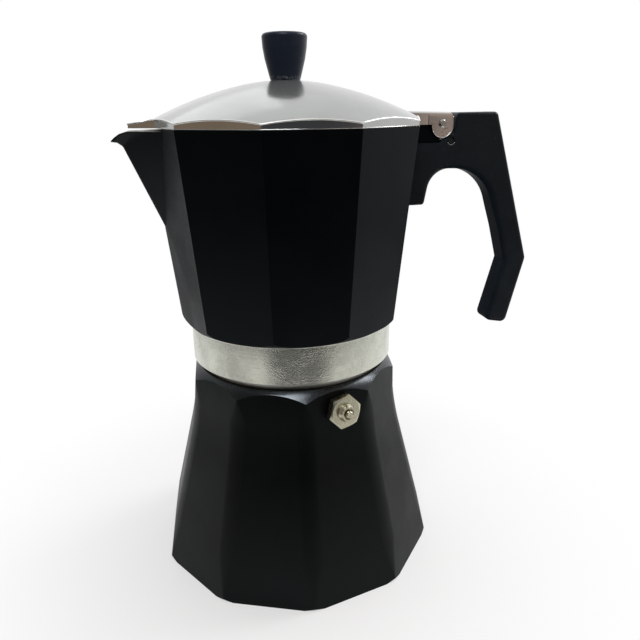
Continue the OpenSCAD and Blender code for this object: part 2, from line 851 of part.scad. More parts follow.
// Channel that the tab is folded to: round shoulders along its length, open below
module tab_channel(inset) {
    w = ear_half_w - inset;
    r = tab_bend_r - inset;
    translate([hinge_x, 0, tab_z])
        rotate([0, tab_fall, 0])
            translate([-25, 0, -inset])
                rotate([90, 0, 90])
                    linear_extrude(height = 50)
                        union() {
                            translate([-w, -20])
                                square([2 * w, 20 - r]);
                            translate([-w + r, -20])
                                square([2 * w - 2 * r, 20]);
                            for (side = [-1, 1])
                                translate([side * (w - r), -r])
                                    circle(r = r);
                        }
}

// Folded sheet of the tab, a little narrower where it leaves the lid
module tab() {
    difference() {
        intersection() {
            tab_channel(0);
            upright(40)
                ear_shape();
        }
        tab_channel(ear_t);
        for (side = [-1, 1])
            translate([flange_x - ear_r, side * (ear_half_w - tab_step + ear_r), tab_z])
                cube([2 * ear_r, 2 * ear_r, 40], center = true);
    }
}

module lid() {
    bottom = lid_top - lid_t;
    color("#c7cac8")
        difference() {
            union() {
                difference() {
                    union() {
                        lid_cap(0);
                        beak(0);
                    }
                    lid_cap(lid_t);
                    beak(lid_t);
                }
                difference() {
                    tab();
                    lid_cap(lid_t);
                }
            }
            translate([0, 0, bottom - 5])
                cylinder(r = lid_bore_r, h = 10);
            translate([0, 0, lid_top - 0.3])
                cylinder(r = lid_seat_r, h = 5);
            cross_rod(hinge_x, hinge_z, pin_r + pin_play, 30);
        }
}

module knob() {
    base = lid_top - 0.3;
    top = base + knob_h;
    color("#17191d")
        difference() {
            rotate_extrude()
                polygon(concat([[0, base], [knob_foot_r - 0.5, base], [knob_foot_r, base + 0.6],
                                [knob_foot_r + 0.9, base + 4], [knob_r - 1.1, base + 8.7],
                                [knob_r - 0.3, base + 13.4]],
                               arc([knob_r - knob_top_round, top - knob_crown - knob_top_round],
                                   knob_top_round, 0, 80, 5),
                               [[0, top]]));
            translate([0, 0, base - 1])
                cylinder(r = insert_r + 0.02, h = insert_h + 1.02);
        }
}

module knob_insert() {
    color("#b59a5b")
        translate([0, 0, lid_top - 0.3])
            difference() {
                cylinder(r = insert_r, h = insert_h);
                translate([0, 0, -1])
                    cylinder(r = screw_r + 0.02, h = insert_h);
            }
}

module knob_screw() {
    shank_top = lid_top - 0.3 + insert_h - 2;
    head_z = lid_top - lid_t - washer_t - 0.3;
    color("#a9aaa8")
        difference() {
            union() {
                translate([0, 0, head_z])
                    cylinder(r = screw_r, h = shank_top - head_z);
                translate([0, 0, head_z - head_h])
                    cylinder(r1 = head_r - 0.8, r2 = head_r, h = head_h);
            }
            translate([-head_r, -0.5, head_z - head_h - 1])
                cube([2 * head_r, 1, 2]);
        }
}

module knob_washer() {
    color("#9d9e9c")
        translate([0, 0, lid_top - lid_t - washer_t - 0.3])
            difference() {
                cylinder(r = washer_r, h = washer_t);
                translate([0, 0, -1])
                    cylinder(r = screw_r + 0.1, h = washer_t + 2);
            }
}

boiler();
valve_body();
valve_washer();
valve_bush();
valve_plunger();
valve_seal();
valve_spring();
funnel();
funnel_strainer();
gasket();
filter_plate();
upper_chamber();
riser();
hinge_pin();
handle();
handle_pin();
lid();
knob();
knob_insert();
knob_screw();
knob_washer();
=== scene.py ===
"""Ten-sided stove-top coffee maker: procedural looks around the CAD frame.

Sizes and heights of the object are in millimetres until MM turns them into Blender's metres.
Patterns in the materials, the camera, the lights and the floor are in metres.
"""

import bmesh
import bpy
import json
import math
from mathutils import Matrix, Vector

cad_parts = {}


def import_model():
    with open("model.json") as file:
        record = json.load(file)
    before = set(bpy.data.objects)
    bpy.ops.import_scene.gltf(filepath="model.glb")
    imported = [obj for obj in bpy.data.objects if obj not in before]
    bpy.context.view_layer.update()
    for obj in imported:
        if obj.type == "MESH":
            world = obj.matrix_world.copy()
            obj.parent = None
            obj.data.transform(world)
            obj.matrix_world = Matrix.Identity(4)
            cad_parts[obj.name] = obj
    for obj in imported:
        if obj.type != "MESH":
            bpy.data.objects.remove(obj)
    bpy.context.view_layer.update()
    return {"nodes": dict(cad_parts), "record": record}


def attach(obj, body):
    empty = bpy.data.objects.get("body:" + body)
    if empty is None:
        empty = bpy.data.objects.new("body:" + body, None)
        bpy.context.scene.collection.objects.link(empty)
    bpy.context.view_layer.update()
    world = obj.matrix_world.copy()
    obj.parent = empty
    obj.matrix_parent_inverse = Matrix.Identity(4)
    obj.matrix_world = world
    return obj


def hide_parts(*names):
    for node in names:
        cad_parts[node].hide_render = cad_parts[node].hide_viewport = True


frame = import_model()
nodes = frame["nodes"]
scene = bpy.context.scene

MM = 0.001

# Sizes shared with the CAD model
SHOULDER_Z = 98.8           # ring that the boiler's neck stands on
NECK_R = 44.4
COLLAR_TOP = 120.0          # the bare collar ends and the painted jug begins
COLLAR_R = 48.25
JUG_LOW_HALF = 49.6         # half the jug's width over its flats, at the collar
JUG_SLOPE = 8.8 / 88.1      # what that half gains with each millimetre of height
RIM_Z = 208.1
HINGE_X, HINGE_Z = 71.9, 208.3
EAR_Y = 7.0                 # outer faces of the lid's ears
HANDLE_HALF = 6.5           # half the handle's width
PIN_X, PIN_Z = 76.8, 200.4  # the handle's cross pin, which is sunk in its hole
KNOB_FOOT_Z = 227.3

# Settings of this script
CORNER_ANGLES = 25, 50      # the turn from flat to flat, in degrees, lies between these
WELD = 4e-6                 # points nearer than this become one, in metres
BEAD_SIDES = 8
CIRCLE_POINTS = 120
EDGE_STEPS = 5              # points on each rounded corner and edge of the handle


# ------------------------------------------------------------------ materials

class Graph:
    """Node tree with short calls that add a node and link or set its inputs.

    Inputs are given by label or number. A colour is three numbers.
    """

    def __init__(self, tree, coordinates="Object"):
        self.tree = tree
        self.place = self.add("ShaderNodeTexCoord").outputs[coordinates]

    def add(self, kind, inputs=None, **settings):
        node = self.tree.nodes.new(kind)
        for key, value in settings.items():
            setattr(node, key, value)
        for key, value in (inputs or {}).items():
            self.put(node, key, value)
        return node

    def put(self, node, key, value):
        socket = node.inputs[key]
        if isinstance(value, bpy.types.NodeSocket):
            self.tree.links.new(value, socket)
        elif socket.type == "RGBA":
            socket.default_value = (*value, 1.0)
        else:
            socket.default_value = value

    def axes(self):
        return self.add("ShaderNodeSeparateXYZ", {"Vector": self.place}).outputs

    def noise(self, scale, detail=2, roughness=0.5, distortion=0.0):
        """Cloudy value between 0 and 1. scale is one number, or a tuple of three to stretch it."""
        place = self.place
        if isinstance(scale, tuple):
            place = self.add("ShaderNodeMapping", {"Vector": place, "Scale": scale}).outputs[0]
            scale = 1.0
        node = self.add("ShaderNodeTexNoise", {
            "Vector": place, "Scale": scale, "Detail": detail, "Roughness": roughness,
            "Distortion": distortion,
        })
        return node.outputs["Fac"]

    def ramp(self, value, low, high, out_low=0.0, out_high=1.0):
        """Smooth step from out_low to out_high while the value goes from low to high."""
        node = self.add("ShaderNodeMapRange", {
            "Value": value, "From Min": low, "From Max": high,
            "To Min": out_low, "To Max": out_high,
        }, interpolation_type="SMOOTHSTEP")
        return node.outputs["Result"]

    def math(self, operation, a, b=0.0):
        return self.add("ShaderNodeMath", {0: a, 1: b}, operation=operation).outputs[0]

    def mix(self, factor, a, b):
        return self.add("ShaderNodeMix", {0: factor, 6: a, 7: b}, data_type="RGBA").outputs[2]

    def marks(self, mask, share, under, colour):
        """Marks of a colour on what is under them. They cover the share of it where mask is 1."""
        return self.mix(self.math("MULTIPLY", mask, share), under, colour)

    def bump(self, height, strength, distance, below=None):
        inputs = {"Height": height, "Strength": strength, "Distance": distance}
        if below is not None:
            inputs["Normal"] = below
        return self.add("ShaderNodeBump", inputs).outputs[0]


class MaterialGraph(Graph):
    """Graph of a new material around one principled shader."""

    def __init__(self, name):
        self.material = bpy.data.materials.new(name)
        self.material.use_nodes = True
        self.material.node_tree.nodes.clear()
        super().__init__(self.material.node_tree)
        self.shader = self.add("ShaderNodeBsdfPrincipled")
        self.output = self.add("ShaderNodeOutputMaterial", {"Surface": self.shader.outputs[0]})

    def set(self, **inputs):
        """Sets the shader's inputs, with _ for each space in a label."""
        for key, value in inputs.items():
            self.put(self.shader, key.replace("_", " "), value)


def times(colour, factor):
    return [c * factor for c in colour]


def satin_black(name, ior, full_lift_z, no_lift_z, painted_lift, rough=0.42, sheen=(0.80, 1.0, 1.22)):
    """Matte black coat over cast metal, with fine orange peel and faint smudges.

    Its colour is lighter low down, a painted light from below: lightest up to the first
    height given, in mm, and the coat's own from the second on. sheen tints its reflections
    cool, a painted colour of the light.
    """
    own_coat = 0.0008
    g = MaterialGraph(name)
    cloud = g.noise(38, 3, 0.6)
    grain = g.noise(1500)
    height = g.math("ADD", g.axes()[2], g.math("MULTIPLY", cloud, 0.012))
    # Painted light from below: the coat is lightest low down and fades to its own colour higher up
    painted_lightness = g.ramp(height, full_lift_z * MM, no_lift_z * MM, painted_lift, own_coat)
    tint = g.mix(g.ramp(cloud, 0.35, 0.7), (0.66, 0.95, 1.0), (0.94, 1.06, 0.98))
    coat = g.add("ShaderNodeVectorMath", {0: tint, "Scale": painted_lightness}, operation="SCALE").outputs[0]
    smudges = g.ramp(cloud, 0.3, 0.7, rough - 0.03, rough + 0.05)
    # sheen tints the coat's reflections cool: a painted colour of the light
    g.set(Base_Color=coat, IOR=ior, Specular_Tint=sheen)
    g.set(Roughness=g.math("ADD", smudges, g.ramp(grain, 0.3, 0.7, -0.03, 0.03)))
    g.set(Normal=g.bump(grain, 0.12, 0.0002, g.bump(g.noise(120), 0.05, 0.001)))
    return g.material


def cast_metal(name, colour, rough, pits=0.3, grain=0.25, metallic=1.0):
    """Bare cast aluminium, lightly turned, pitted and stained, with a coarse patch at the front."""
    patch_x, patch_core, patch_edge, patch_depth = -0.002, 0.010, 0.024, -0.02
    pit_colour = (0.16, 0.155, 0.14)
    g = MaterialGraph(name)
    stain = g.noise(55, 5, 0.65)
    x, y, _ = g.axes()
    across = g.math("ABSOLUTE", g.math("SUBTRACT", x, patch_x))
    core = g.ramp(across, patch_core, patch_edge, 1.0, 0.0)
    near = g.math("MULTIPLY", core, g.ramp(y, 0.0, patch_depth))
    patch = g.math("MULTIPLY", near, g.ramp(g.noise(70), 0.35, 0.65))
    tone = g.mix(g.ramp(stain, 0.40, 0.72), colour, times(colour, 0.8))
    pitted = g.marks(g.ramp(g.noise(900, 3, 0.6), 0.62, 0.72), pits, tone, pit_colour)
    stained = g.ramp(stain, 0.3, 0.75, rough - 0.06, rough + 0.08)
    g.set(Base_Color=pitted, Metallic=metallic)
    g.set(Roughness=g.math("ADD", stained, g.math("MULTIPLY", patch, -0.08)))
    skin_height = g.math("MULTIPLY", g.noise(1900, 1), g.math("ADD", patch, 0.04))
    turned = g.noise((40, 40, 900))
    g.set(Normal=g.bump(turned, 0.05, 0.0003, g.bump(skin_height, grain, 0.0003)))
    return g.material


def sheet_metal(name, colour, rough, smudge=0.08, scratches=0.0, metallic=1.0):
    """Polished sheet, a little wavy, with faint smudges and fine lines, and scratches if wanted."""
    scratch_colour = (0.10, 0.09, 0.085)
    g = MaterialGraph(name)
    wide = g.noise(24, 3, 0.6)
    fine = g.noise((2500, 180, 900), 3, 0.6)
    tone = g.mix(g.ramp(wide, 0.35, 0.7), colour, times(colour, 0.9))
    if scratches:
        scratched = g.ramp(g.noise((420, 420, 700), 4, 0.7, 1.5), 0.56, 0.70)
        tone = g.marks(scratched, scratches, tone, scratch_colour)
    smudged = g.ramp(wide, 0.3, 0.75, rough, rough + smudge)
    g.set(Base_Color=tone, Metallic=metallic)
    g.set(Roughness=g.math("ADD", smudged, g.ramp(fine, 0.4, 0.7, -0.015, 0.03)))
    g.set(Normal=g.bump(fine, 0.03, 0.0002, g.bump(g.noise(45), 0.06, 0.0015)))
    return g.material


def bakelite(name, light=1.0, ior=1.28, blue=1.0, worn_foot=None):
    """Moulded phenolic resin: deep blue-black gloss with fine pale specks and hand marks.

    worn_foot is the height, in mm, of a foot that is scuffed at its lowest edge.
    """
    speck_colour, scuff_colour = (0.09, 0.10, 0.11), (0.20, 0.215, 0.23)
    scuff_low, scuff_high = 0.7, 2.2

    def resin(red, green, bluish):
        return red * light, green * light, bluish * light * blue

    g = MaterialGraph(name)
    hand = g.noise(60, 4, 0.6)
    deep, worn = resin(0.0075, 0.0105, 0.0140), resin(0.0100, 0.0138, 0.0178)
    tone = g.mix(g.ramp(hand, 0.35, 0.75), deep, worn)
    if worn_foot:
        low, high = (worn_foot + scuff_low) * MM, (worn_foot + scuff_high) * MM
        edge = g.ramp(g.axes()[2], low, high, 1.0, 0.0)
        scuffed = g.math("MULTIPLY", edge, g.ramp(g.noise(900, 3, 0.7), 0.48, 0.60))
        tone = g.marks(scuffed, 0.7, tone, scuff_colour)
    speckled = g.marks(g.ramp(g.noise(1800), 0.68, 0.76), 0.55, tone, speck_colour)
    g.set(Base_Color=speckled, Roughness=g.ramp(hand, 0.3, 0.75, 0.28, 0.42), IOR=ior)
    g.set(Normal=g.bump(g.noise(700, 3, 0.6), 0.06, 0.0003, g.bump(g.noise(70), 0.08, 0.001)))
    return g.material


def rubber(name, colour, rough):
    """Moulded seal with a dusty, slightly mottled skin."""
    g = MaterialGraph(name)
    spot = g.noise(220, 4, 0.6)
    g.set(Base_Color=g.mix(g.ramp(spot, 0.35, 0.7), colour, times(colour, 0.8)))
    g.set(Roughness=g.ramp(spot, 0.3, 0.7, rough - 0.08, rough + 0.08))
    g.set(Normal=g.bump(g.noise(1400), 0.15, 0.0002))
    return g.material


# Each black coat is lighter towards its foot: painted light from below
BLACK = satin_black("satin_black", 1.2, full_lift_z=118, no_lift_z=185, painted_lift=0.0028)
BOILER_BLACK = satin_black("satin_black_boiler", 1.24, full_lift_z=0, no_lift_z=70, painted_lift=0.0043,
                           sheen=(0.86, 1.0, 1.0))
GLOSS_BLACK = satin_black("gloss_black_shoulder", 1.6, full_lift_z=0, no_lift_z=70, painted_lift=0.004,
                          rough=0.25, sheen=(0.88, 0.98, 1.08))
CAST = cast_metal("cast_aluminium", (0.66, 0.67, 0.59), 0.27, pits=0.5, grain=0.42, metallic=0.82)
# Lighter than the collar's cast metal: partly a painted highlight along the seam bead
BEAD = cast_metal("cast_bead_painted_highlight", (0.80, 0.81, 0.75), 0.22)
INSIDE = cast_metal("cast_aluminium_inside", (0.55, 0.55, 0.52), 0.5, pits=0.5)
LID = sheet_metal("polished_lid", (0.43, 0.445, 0.435), 0.13, metallic=0.78)
SKIRT = sheet_metal("polished_skirt", (0.66, 0.66, 0.65), 0.07, smudge=0.03)
BURR = sheet_metal("bright_burr", (0.70, 0.70, 0.69), 0.15, smudge=0.05, scratches=0.9)
# Lighter than the lid's own sheet: partly a painted highlight along the crease and ear-rim beads
CREASE = sheet_metal("crease_painted_highlight", (0.92, 0.92, 0.90), 0.34, smudge=0.10)
# Warmer than the skirt's sheet: a painted brownish reflection, over real scratches
EAR = sheet_metal("scratched_ear_painted_reflection", (0.66, 0.63, 0.60), 0.20, smudge=0.14, scratches=0.6)
PLAIN = sheet_metal("pressed_sheet", (0.60, 0.61, 0.60), 0.30)
STEEL = sheet_metal("bright_steel", (0.56, 0.56, 0.54), 0.24)
# Near-black steel on the cross pin: painted shade of the hole it is sunk in
PIN_SHADE_STEEL = sheet_metal("pin_steel_painted_shade", (0.05, 0.05, 0.055), 0.45)
NICKEL = sheet_metal("nickelled_brass", (0.60, 0.575, 0.44), 0.24)
BRASS = sheet_metal("brass_insert", (0.62, 0.46, 0.20), 0.30)
KNOB = bakelite("black_bakelite_knob", light=1.9, blue=1.3, worn_foot=KNOB_FOOT_Z)
RESIN = bakelite("black_bakelite")
# Copy of the handle's bakelite for its faces toward the jug: its reflection is cut down as painted
# shade, and its colour is lifted to match the sides
SHADED_RESIN = bakelite("black_bakelite_painted_shade", light=1.5, ior=1.04)
SILICONE = rubber("white_silicone", (0.78, 0.76, 0.71), 0.55)
FIBRE = rubber("fibre_washer", (0.30, 0.20, 0.11), 0.7)
DARK_RUBBER = rubber("dark_rubber", (0.02, 0.02, 0.02), 0.6)

FINISH = {
    "boiler": BOILER_BLACK, "valve_body": NICKEL, "valve_washer": FIBRE, "valve_bush": NICKEL,
    "valve_plunger": NICKEL, "valve_seal": DARK_RUBBER, "valve_spring": STEEL, "funnel": PLAIN,
    "funnel_strainer": PLAIN, "gasket": SILICONE, "filter_plate": PLAIN, "upper_chamber": BLACK,
    "hinge_pin": STEEL, "handle": RESIN, "handle_pin": PIN_SHADE_STEEL, "lid": LID, "knob": KNOB,
    "knob_insert": BRASS, "knob_screw": STEEL, "knob_washer": STEEL, "riser": INSIDE,
}
for name, material in FINISH.items():
    nodes[name].data.materials.clear()
    nodes[name].data.materials.append(material)


# ------------------------------------------------------------------ making pieces

def body_of(node):
    return next(b for b, names in frame["record"]["behaviour"]["bodies"].items() if node in names)


def add_object(name, data):
    thing = bpy.data.objects.new(name, data)
    scene.collection.objects.link(thing)
    return thing


def to_mesh(bm, name, materials=()):
    """The bmesh as a mesh. The bmesh can't be used after this."""
    mesh = bpy.data.meshes.new(name)
    bm.to_mesh(mesh)
    bm.free()
    for material in materials:
        mesh.materials.append(material)
    return mesh


def clean_copy(node):
    """The node's mesh as one connected bmesh, with each flat face whole."""
    bm = bmesh.new()
    bm.from_mesh(nodes[node].data)
    bmesh.ops.remove_doubles(bm, verts=bm.verts, dist=1e-6)
    flat = math.radians(0.3)
    bmesh.ops.dissolve_limit(bm, angle_limit=flat, verts=bm.verts, edges=bm.edges)
    return bm


def matching(bm, chosen):
    """The edges between two faces for which chosen(edge, angle, middle in mm) is true."""
    edges = []
    for edge in bm.edges:
        if len(edge.link_faces) == 2:
            middle = (edge.verts[0].co + edge.verts[1].co) / 2 / MM
            if chosen(edge, math.degrees(edge.calc_face_angle()), middle):
                edges.append(edge)
    return edges


def soften(bm, chosen, width, segments=3, clamp=True):
    """Rounds the matching edges over a width in mm."""
    edges = matching(bm, chosen)
    if edges:
        bmesh.ops.bevel(bm, geom=edges, offset=width * MM, segments=segments, profile=0.5,
                        affect="EDGES", clamp_overlap=clamp, loop_slide=True)


def finish_piece(bm, name, node, materials, choose, smooth_angle=24):
    """Makes the piece that stands for a node. choose(face, centre in mm) gives a material."""
    bmesh.ops.remove_doubles(bm, verts=bm.verts, dist=WELD)
    bmesh.ops.dissolve_degenerate(bm, edges=bm.edges, dist=WELD)
    for face in bm.faces:
        face.smooth = True
        face.material_index = materials.index(choose(face, face.calc_center_median() / MM))
    sharp = math.radians(smooth_angle)
    for edge in bm.edges:
        edge.smooth = len(edge.link_faces) == 2 and edge.calc_face_angle() < sharp
    piece = add_object(name, to_mesh(bm, name, materials))
    weighted = piece.modifiers.new("normals", "WEIGHTED_NORMAL")
    weighted.keep_sharp = True
    weighted.weight = 100
    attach(piece, body_of(node))
    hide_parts(node)


def turns(count):
    """Angles of evenly spaced points on a full turn."""
    return [2 * math.pi * i / count for i in range(count)]


def circle(radius, z):
    """Closed path around the Z axis, from a radius and a height in mm."""
    path = [Vector((radius * math.cos(a), radius * math.sin(a), z)) * MM
            for a in turns(CIRCLE_POINTS)]
    return path + path[:1]


def arc(centre, radius, start, end, count):
    """Points on an arc from the start angle to the end angle, in degrees."""
    angles = [math.radians(start + (end - start) * i / count) for i in range(count + 1)]
    return [(centre[0] + radius * math.cos(a), centre[1] + radius * math.sin(a)) for a in angles]


def fillet(before, corner, after, radius):
    """Points of an arc that rounds the corner between two straight lines."""
    p, q, s = Vector(before), Vector(corner), Vector(after)
    u, v = (p - q).normalized(), (s - q).normalized()
    half = u.angle(v) / 2
    centre = q + (u + v).normalized() * (radius / math.sin(half))
    reach = radius / math.tan(half)
    first, last = q + u * reach - centre, q + v * reach - centre
    points = []
    for i in range(EDGE_STEPS + 1):
        t = i / EDGE_STEPS
        points.append(centre + ((1 - t) * first + t * last).normalized() * radius)
    return [tuple(point) for point in points]


def chains(edges):
    """Paths of points along the edges, each running on until it forks, ends or closes."""
    around = {}
    for edge in edges:
        for vert in edge.verts:
            around.setdefault(vert, []).append(edge)
    ends = [vert for vert, near in around.items() if len(near) != 2]
    left = set(edges)
    paths = []
    for start in ends + list(around):
        for first in around[start]:
            if first not in left:
                continue
            path, edge, vert = [start], first, start
            while edge in left:
                left.discard(edge)
                vert = edge.other_vert(vert)
                path.append(vert)
                following = [e for e in around[vert] if e in left]
                if len(around[vert]) == 2 and following:
                    edge = following[0]
            paths.append([vert.co.copy() for vert in path])
    return paths


def skin(bm, rings, loop=False):
    """Faces from ring to ring of vertices. The end rings are capped, or joined if it is a loop."""
    for low, high in zip(rings, rings[1:] + rings[:1] if loop else rings[1:]):
        for i in range(len(low)):
            j = (i + 1) % len(low)
            bm.faces.new((low[i], low[j], high[j], high[i]))
    if not loop:
        bm.faces.new(list(reversed(rings[0])))
        bm.faces.new(rings[-1])


def bead(name, paths, node, material, radius):
    """Thin round bead along each path of points, as a piece that rides with the node.

    Its radius is in mm, the points are in metres.
    """
    bm = bmesh.new()
    for path in paths:
        closed = (path[0] - path[-1]).length < 1e-7 and len(path) > 3
        points = path[:-1] if closed else path
        count = len(points)
        rings = []
        for i, point in enumerate(points):
            after = points[(i + 1) % count] if closed else points[min(i + 1, count - 1)]
            before = points[i - 1] if closed else points[max(i - 1, 0)]
            ahead = after - before
            level = ahead.cross(Vector((0, 0, 1))).normalized()
            upward = level.cross(ahead).normalized()
            offsets = [math.cos(a) * level + math.sin(a) * upward for a in turns(BEAD_SIDES)]
            rings.append([bm.verts.new(point + offset * radius * MM) for offset in offsets])
        skin(bm, rings, closed)
    bmesh.ops.recalc_face_normals(bm, faces=bm.faces)
    for face in bm.faces:
        face.smooth = True
    piece = add_object(name, to_mesh(bm, name, [material]))
    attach(piece, body_of(node))


def rounded_plate(outline, half_width):
    """Plate in the XZ plane with a rounded rim.

    outline = [(x, z, edge radius), ...] in mm, anticlockwise.
    """
    count = len(outline)
    points = [Vector((x, z)) for x, z, _ in outline]
    normals = []
    for i in range(count):
        ahead = (points[(i + 1) % count] - points[i]).normalized()
        behind = (points[i] - points[i - 1]).normalized()
        normal = Vector((ahead.y + behind.y, -ahead.x - behind.x)).normalized()
        stretch = max(normal.dot(Vector((ahead.y, -ahead.x))), 0.5)
        normals.append(normal / stretch)
    bm = bmesh.new()
    rings = []
    steps = range(EDGE_STEPS + 1)
    for side in (-1, 1):
        for k in steps if side > 0 else reversed(steps):
            a = math.pi / 2 * k / EDGE_STEPS
            ring = []
            for point, normal, (_, _, r) in zip(points, normals, outline):
                place = point - normal * r * (1 - math.cos(a))
                y = side * (half_width - r * (1 - math.sin(a)))
                ring.append(bm.verts.new((place.x * MM, y * MM, place.y * MM)))
            rings.append(ring)
    skin(bm, rings)
    bmesh.ops.recalc_face_normals(bm, faces=bm.faces)
    return bm


def lathe(profile, sides):
    """Solid of revolution about Z from [(radius, z), ...] in mm, closed at both ends."""
    bm = bmesh.new()
    rings = []
    for r, z in profile:
        spots = [(r * MM * math.cos(a), r * MM * math.sin(a), z * MM) for a in turns(sides)]
        rings.append([bm.verts.new(spot) for spot in spots])
    skin(bm, rings)
    bmesh.ops.recalc_face_normals(bm, faces=bm.faces)
    return bm


def cut(bm, tool):
    """bm with the solid tool taken out of it. Neither can be used after this."""
    body = add_object("cut_body", to_mesh(bm, "cut_body"))
    knife = add_object("cut_tool", to_mesh(tool, "cut_tool"))
    modifier = body.modifiers.new("cut", "BOOLEAN")
    modifier.object = knife
    modifier.operation = "DIFFERENCE"
    modifier.solver = "EXACT"
    bpy.context.view_layer.update()
    shape = body.evaluated_get(bpy.context.evaluated_depsgraph_get()).to_mesh()
    result = bmesh.new()
    result.from_mesh(shape)
    bpy.data.objects.remove(body)
    bpy.data.objects.remove(knife)
    return result


# ------------------------------------------------------------------ pieces made from CAD nodes

def is_corner(edge, angle):
    """True for the upright edges between neighbouring flats of a ten-sided body."""
    along = edge.verts[1].co - edge.verts[0].co
    low, high = CORNER_ANGLES
    return low < angle < high and abs(along.z) > 0.75 * along.length


def boiler_piece():
    """Painted boiler with rounded corners, foot and shoulder, bare inside and at the neck.

    The scallops between its flats and its shoulder are glossier.
    """
    foot_z, scallop_z, top_z, corner_top_z = 0.05, 86, 90, 96
    floor_z, floor_r = 3, 30
    bm = clean_copy("boiler")

    def corner(edge, angle, middle):
        outer = middle.xy.length > NECK_R + 3
        return is_corner(edge, angle) and outer and middle.z < corner_top_z

    def rim(edge, angle, middle):
        at_an_end = middle.z < foot_z or middle.z > top_z
        outer = middle.xy.length > NECK_R + 2
        return angle > 30 and outer and at_an_end and not corner(edge, angle, middle)

    def where(face, centre):
        rise = face.normal.z
        if rise > 0.95 and abs(centre.z - SHOULDER_Z) < 0.15:
            return BOILER_BLACK
        neck = centre.z > SHOULDER_Z - 0.4 and centre.xy.length < NECK_R + 1
        facing_in = face.normal.x * centre.x + face.normal.y * centre.y < 0
        inner_floor = centre.z > floor_z and centre.xy.length < floor_r
        underside = rise < -0.9 and centre.z < 1
        if neck or facing_in or inner_floor or underside:
            return INSIDE
        return GLOSS_BLACK if centre.z > scallop_z and 0.35 < rise < 0.95 else BOILER_BLACK

    soften(bm, corner, width=5.0, segments=5, clamp=False)
    soften(bm, rim, width=1.1)
    materials = [BOILER_BLACK, INSIDE, GLOSS_BLACK]
    finish_piece(bm, "boiler_shell", "boiler", materials, where)


def jug_piece():
    """Painted jug over a bare collar, with bare metal inside and a bright bead at the seam."""
    corner_low_z, spine_end_x, lug_x = 124, -45, 60
    column_z, column_r = 121, 35
    bm = clean_copy("upper_chamber")

    def corner(edge, angle, middle):
        half = JUG_LOW_HALF + (middle.z - COLLAR_TOP) * JUG_SLOPE
        return is_corner(edge, angle) and middle.xy.length > half - 1 and middle.z > corner_low_z

    def where(face, centre):
        if centre.z < COLLAR_TOP + 0.05:
            return CAST
        # The inner faces look at this spine, which runs from the axis out into the spout
        spine = Vector((max(spine_end_x, min(centre.x, 0)), 0, centre.z))
        facing_in = face.normal.dot(centre - spine) < 0 and centre.x < lug_x
        central = centre.xy.length < column_r and centre.z > column_z
        return INSIDE if central or facing_in and centre.z < RIM_Z - 0.2 else BLACK

    seam = circle(COLLAR_R + 0.95, COLLAR_TOP - 0.05)
    bead("collar_bead", [seam], "upper_chamber", BEAD, radius=0.32)
    soften(bm, corner, width=1.3)
    materials = [BLACK, CAST, INSIDE]
    finish_piece(bm, "jug_shell", "upper_chamber", materials, where)


def handle_outline():
    """The handle's side view as [(x, z, edge radius), ...] in mm, anticlockwise."""
    broad, soft, firm, crisp = 2.8, 2.0, 1.1, 0.5
    notch_r = 7.85
    # Each run is (corner, its fillet's radius, edge radius), or (None, points, edge radius)
    runs = [
        ((55.0, 171.0), 0, crisp),
        ((64.5, 171.0), 1.6, firm),
        (None, arc((77.3, 176.7), 10.8, 168, 90, 14), broad),
        (None, arc((79.0, 165.5), 22.0, 90, 14, 18)[1:], broad),
        ((104.9, 157.9), 9.0, soft),
        ((109.5, 141.1), 1.4, soft),
        ((101.2, 109.6), 3.0, soft),
        ((112.9, 107.5), 3.0, soft),
        ((121.3, 141.9), 4.0, soft),
        ((100.2, 213.2), 2.2, soft),
        ((79.65, 213.0), 1.2, firm),
        (None, arc((HINGE_X, HINGE_Z), notch_r, -35, -80, 6), crisp),
        ((70.9, 199.5), 0, crisp),
        ((58.0, 199.5), 0, crisp),
    ]
    outline = []
    for i, (corner, shape, edge) in enumerate(runs):
        if corner is None:
            points = shape
        elif shape:
            following = runs[(i + 1) % len(runs)]
            after = following[0] or following[1][0]
            points = fillet(outline[-1][:2], corner, after, shape)
        else:
            points = [corner]
        outline += [(x, z, edge) for x, z in points]
    return outline


def handle_piece():
    """Moulded handle with rounded edges, a notch for the hinge and a hole for the cross pin."""
    mouth_r, inner_x, inner_z = 1.85, 62, 203
    # One hole runs right through and widens toward both mouths: (radius, distance from the middle)
    half_hole = [(1.34, 5.8), (1.75, 6.3), (2.1, 7.2)]
    hole = lathe([(r, -z) for r, z in reversed(half_hole)] + half_hole, 32)
    to_side = Matrix.Rotation(math.pi / 2, 3, "X")
    bmesh.ops.rotate(hole, verts=hole.verts, cent=(0, 0, 0), matrix=to_side)
    bmesh.ops.translate(hole, verts=hole.verts, vec=Vector((PIN_X, 0, PIN_Z)) * MM)
    bm = cut(rounded_plate(handle_outline(), HANDLE_HALF), hole)

    def mouth(edge, angle, middle):
        """The lower part of the hole's front mouth, which catches the light."""
        reach = math.hypot(middle.x - PIN_X, middle.z - PIN_Z)
        at_front = abs(middle.y + HANDLE_HALF) < 0.1
        return at_front and abs(reach - mouth_r) < 0.3 and middle.z < PIN_Z - 0.8

    def where(face, centre):
        # Faces toward the jug get the copy with painted shade
        facing_jug = abs(face.normal.y) < 0.9 and face.normal.x < 0.2
        return SHADED_RESIN if facing_jug and centre.x > inner_x and centre.z < inner_z else RESIN

    # Steel bead on the lower arc of the hole's mouth: a painted highlight for the glint of its rim
    bead("pin_hole_glint", chains(matching(bm, mouth)), "handle", STEEL, radius=0.13)
    finish_piece(bm, "handle_grip", "handle", [RESIN, SHADED_RESIN], where,
                 smooth_angle=32)


